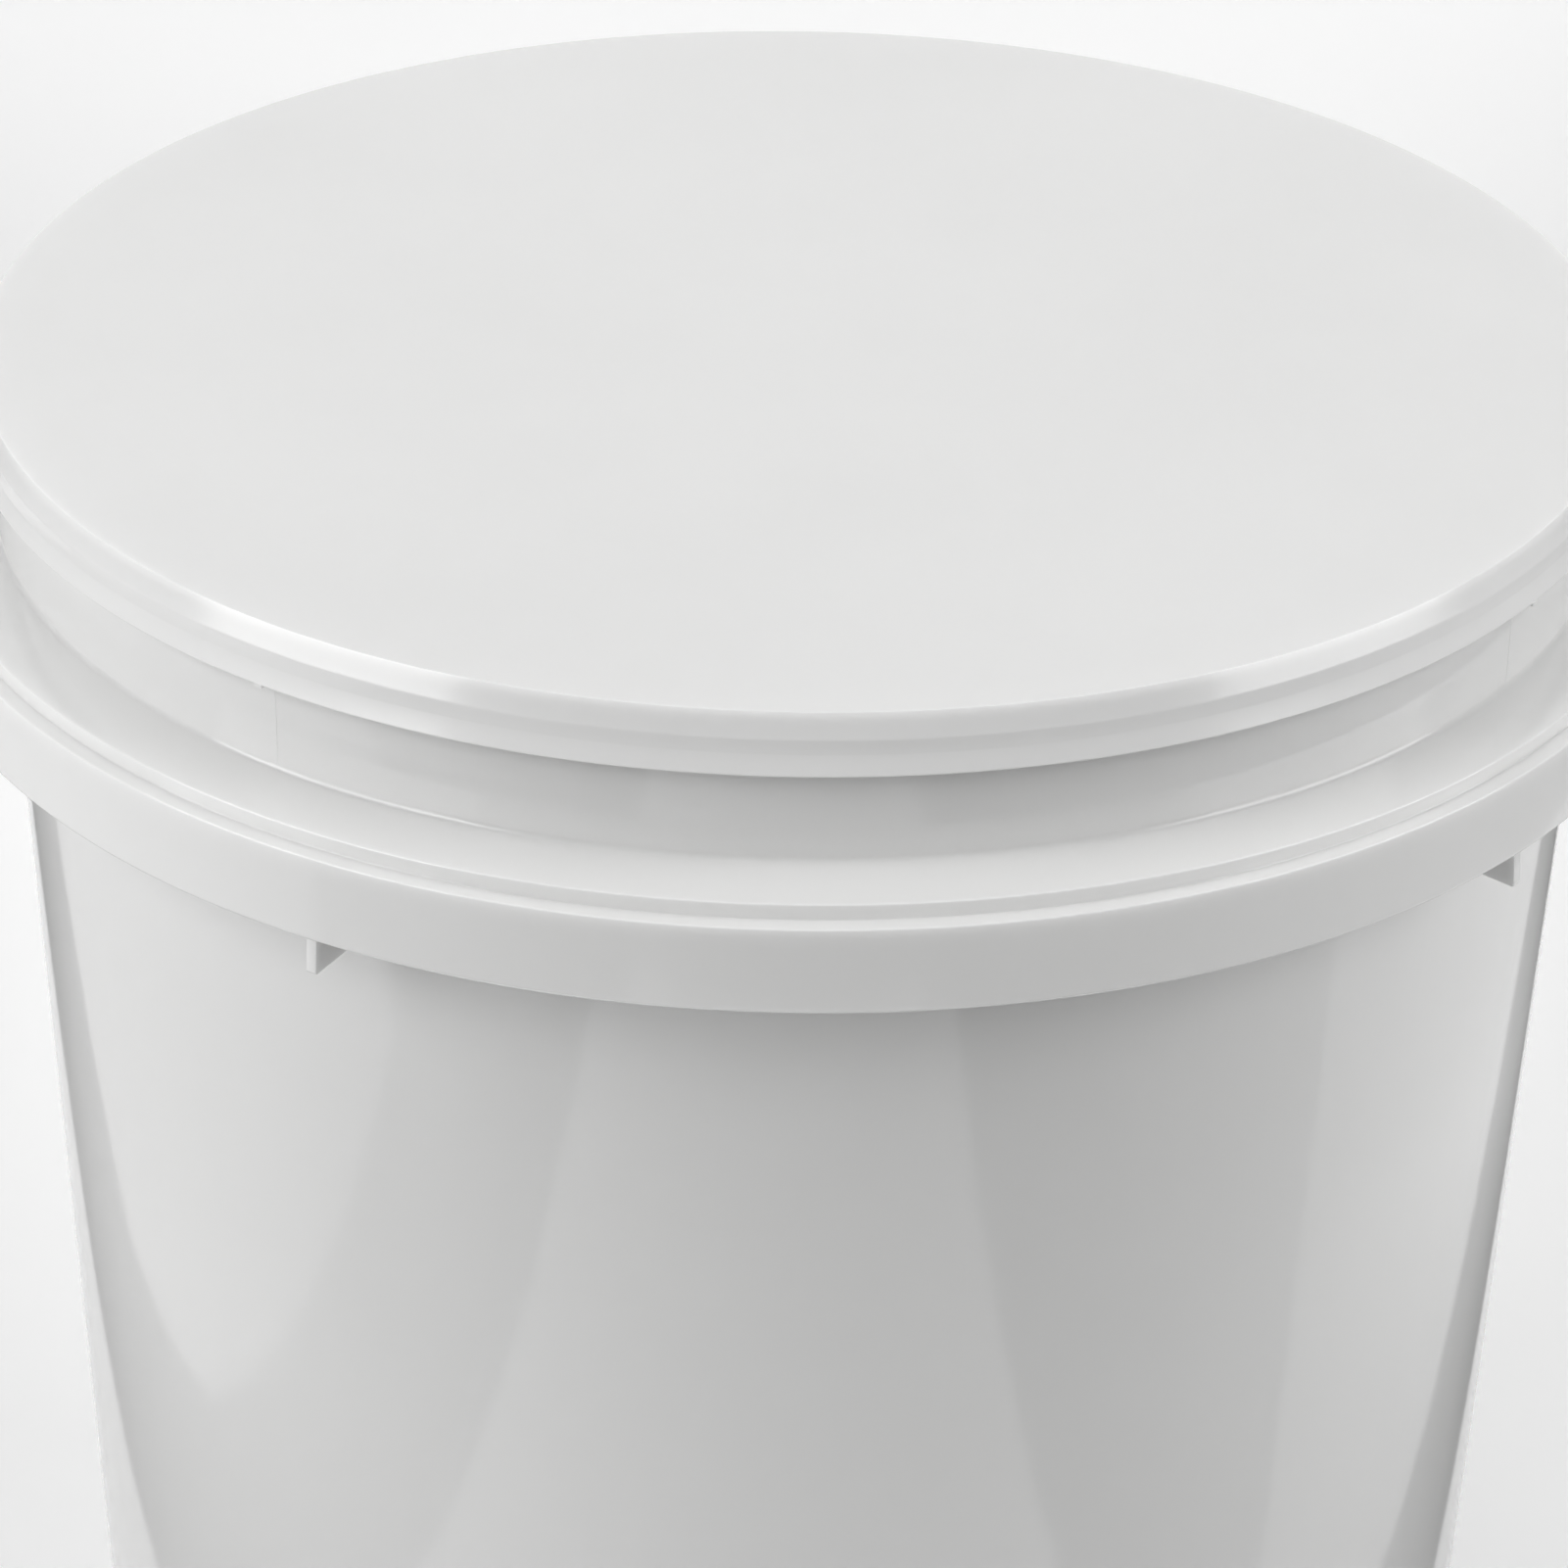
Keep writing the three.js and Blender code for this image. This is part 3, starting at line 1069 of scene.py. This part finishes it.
@dataclass
class Studio:
    """Camera, lamps, paper and table, in metres, with the camera's side at -Y."""

    yaw: float = math.radians(10.0)
    distance: float = 0.816
    rise: float = 0.7365
    pan: float = math.radians(-0.13)
    tilt: float = math.radians(29.43)
    roll: float = math.radians(-0.96)
    lens: float = 112.93
    sensor: float = 36.0
    paper_sides: tuple[float, float] = (-0.245, 0.205)
    paper_spread: float = 0.2
    paper_front: float = -0.8
    paper_bend: float = 0.42
    paper_curve: float = 0.1
    paper_curve_steps: int = 12
    paper_top: float = 1.8
    # The paper's own grey, then the darker grey of painted shade at its top.
    paper_grey_and_top_shade: tuple[float, float] = (0.9, 0.3)
    # Heights between which painted shade darkens the paper towards its top.
    paper_shade_heights: tuple[float, float] = (0.4, 0.85)
    paper_roughness: float = 0.6
    paper_glow: float = 0.2
    glow_tone: tuple[float, float] = (1.0, 0.2)
    glow_fade: tuple[float, float] = (0.01, 0.12)
    card_grey: float = 0.1
    table_gap: float = 0.002
    table_radius: float = 2.5
    table_sides: int = 96
    table_grey: float = 0.2
    matt: float = 0.5
    world_grey: float = 0.9
    world_strength: float = 0.12

    @property
    def turn(self) -> Matrix:
        """Turn from the camera's directions to the bucket's."""
        return Matrix.Rotation(-self.yaw, 3, "Z")

    def camera(self) -> None:
        """Places the camera where the photograph was taken from."""
        ahead = Vector((
            math.sin(self.pan) * math.cos(self.tilt),
            math.cos(self.pan) * math.cos(self.tilt),
            -math.sin(self.tilt),
        ))
        right = Vector((math.cos(self.pan), -math.sin(self.pan), 0))
        down = ahead.cross(right)
        c, s = math.cos(self.roll), math.sin(self.roll)
        across, below = right * c + down * s, down * c - right * s
        axes = Matrix((self.turn @ across, self.turn @ -below, self.turn @ -ahead)).transposed()
        place = self.turn @ Vector((0, -self.distance, self.rise))
        deselect()
        bpy.ops.object.camera_add(location=place, rotation=axes.to_euler())
        camera = bpy.context.object
        camera.data.lens = self.lens
        camera.data.sensor_fit = "HORIZONTAL"
        camera.data.sensor_width = self.sensor
        bpy.context.scene.camera = camera

    def paper(self) -> None:
        """Lays a strip of white paper that curves up behind the bucket and widens there."""
        left, right = self.paper_sides
        back = self.paper_bend + self.paper_curve
        rows = [(self.paper_front, 0.0), (0.0, 0.0)]
        for k in range(self.paper_curve_steps + 1):
            angle = math.radians(90) * k / self.paper_curve_steps
            rise = self.paper_curve * (1 - math.cos(angle))
            rows.append((self.paper_bend + self.paper_curve * math.sin(angle), rise))
        rows.append((back, self.paper_top))
        edges = []
        for start, sign in ((left, -1), (right, 1)):
            edges.append(chain("studio_paper", [
                Vector((start + sign * self.paper_spread * max(0.0, y), y, z)) for y, z in rows
            ]))
            deselect()
        for edge in edges:
            edge.select_set(True)
        bpy.context.view_layer.objects.active = edges[0]
        bpy.ops.object.join()
        edit(bpy.context.object)
        bpy.ops.mesh.bridge_edge_loops()
        self.dress(bpy.context.object, self.paper_grey_and_top_shade[0], self.paper_roughness)
        self.fade(bpy.context.object.active_material)

    def fade(self, material: bpy.types.Material) -> None:
        """Paints shade on the paper, darker towards its top, and lifts it a little where it is
        seen.

        Args:
            material: The paper's material.
        """
        link = material.node_tree.links.new
        shader = material.node_tree.nodes["Principled BSDF"]
        place = add_node(material, "ShaderNodeTexCoord")
        parts = add_node(material, "ShaderNodeSeparateXYZ")
        link(place.outputs["Object"], parts.inputs["Vector"])
        # Painted shade: the paper's colour darkens with height towards its top.
        tone = add_node(material, "ShaderNodeMapRange", {
            "From Min": self.paper_shade_heights[0],
            "From Max": self.paper_shade_heights[1],
            "To Min": self.paper_grey_and_top_shade[0],
            "To Max": self.paper_grey_and_top_shade[1],
        })
        tone.interpolation_type = "SMOOTHSTEP"
        link(parts.outputs["Z"], tone.inputs["Value"])
        link(tone.outputs["Result"], shader.inputs["Base Color"])
        lift = add_node(material, "ShaderNodeMapRange", {
            "From Min": self.glow_fade[0],
            "From Max": self.glow_fade[1],
            "To Min": self.glow_tone[0],
            "To Max": self.glow_tone[1],
        })
        link(parts.outputs["Z"], lift.inputs["Value"])
        link(lift.outputs["Result"], shader.inputs["Emission Color"])
        rays = add_node(material, "ShaderNodeLightPath")
        seen = add_node(material, "ShaderNodeMath")
        seen.operation = "ADD"
        link(rays.outputs["Is Camera Ray"], seen.inputs[0])
        link(rays.outputs["Is Glossy Ray"], seen.inputs[1])
        glow = add_node(material, "ShaderNodeMath")
        glow.operation = "MULTIPLY"
        glow.inputs[1].default_value = self.paper_glow
        link(seen.outputs["Value"], glow.inputs[0])
        link(glow.outputs["Value"], shader.inputs["Emission Strength"])

    def card(self, card: Card) -> None:
        """Stands a glowing card on the paper.

        Args:
            card: The card.
        """
        piece = chain(card.name, [Vector((x, y, 0)) for x, y in card.foot])
        bpy.ops.mesh.select_all(action="SELECT")
        bpy.ops.mesh.extrude_region_move(TRANSFORM_OT_translate={"value": (0, 0, card.height)})
        self.dress(piece, self.card_grey, self.matt)
        shader = piece.active_material.node_tree.nodes["Principled BSDF"]
        shader.inputs["Emission Color"].default_value = (1, 1, 1, 1)
        shader.inputs["Emission Strength"].default_value = card.brightness

    def table(self) -> None:
        """Puts a dark table below the paper."""
        deselect()
        bpy.ops.mesh.primitive_circle_add(
            vertices=self.table_sides,
            radius=self.table_radius,
            fill_type="NGON",
            location=(0, 0, -self.table_gap),
        )
        bpy.context.object.name = "studio_table"
        self.dress(bpy.context.object, self.table_grey, self.matt)

    def dress(self, piece: bpy.types.Object, grey: float, roughness: float) -> None:
        """Colours a piece of the studio and turns it to the camera.

        Args:
            piece: The paper, a card or the table.
            grey: Its grey level.
            roughness: Its roughness.
        """
        swing(piece, -self.yaw)
        material = bpy.data.materials.new(piece.name)
        material.use_nodes = True
        shader = material.node_tree.nodes["Principled BSDF"]
        shader.inputs["Base Color"].default_value = (grey, grey, grey, 1)
        shader.inputs["Roughness"].default_value = roughness
        piece.data.materials.append(material)

    def build(self) -> None:
        """Builds the whole studio."""
        self.camera()
        for softbox in SOFTBOXES:
            softbox.build(self.turn)
        for card in CARDS:
            self.card(card)
        self.paper()
        self.table()
        world = bpy.data.worlds.new("studio")
        bpy.context.scene.world = world
        world.use_nodes = True
        sky = world.node_tree.nodes["Background"]
        grey = self.world_grey
        sky.inputs["Color"].default_value = (grey, grey, grey, 1)
        sky.inputs["Strength"].default_value = self.world_strength


def finish_piece(piece: bpy.types.Object, body: Body, node: str) -> None:
    """Hands a dressed piece to the frame in place of a node.

    Args:
        piece: The piece.
        body: The rigid body that it moves with.
        node: The node that it stands for.
    """
    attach(piece, body.value)
    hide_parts(node)
    LOG.info("%s: %d faces", piece.name, len(piece.data.polygons))


def corners(bounds: tuple) -> list[list[float]]:
    """Turns a box's two corners into plain lists of numbers.

    Args:
        bounds: The box's low and high corner.

    Returns:
        The same corners as lists.
    """
    return [[float(value) for value in corner] for corner in bounds]


def main() -> None:
    """Builds the bucket and its studio."""
    logging.basicConfig(level=logging.INFO, format="%(name)s %(message)s")
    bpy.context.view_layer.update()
    bucket = Bucket()
    lid = Lid(bucket)
    parts = (
        (bucket, Body.BUCKET, Slot.BUCKET, "bucket_body"),
        (lid, Body.LID, Slot.LID, "lid"),
        (Seal(bucket, lid), Body.LID, Slot.SEAL, "lid_seal"),
        (Handle(bucket), Body.HANDLE, Slot.HANDLE, "handle"),
    )
    for part, body, slot, node in parts:
        piece = part.build()
        part.dress(piece)
        finish_piece(piece, body, node)
    Studio().build()
    bpy.context.scene.view_settings.view_transform = "Standard"


if __name__ == "__main__":
    main()
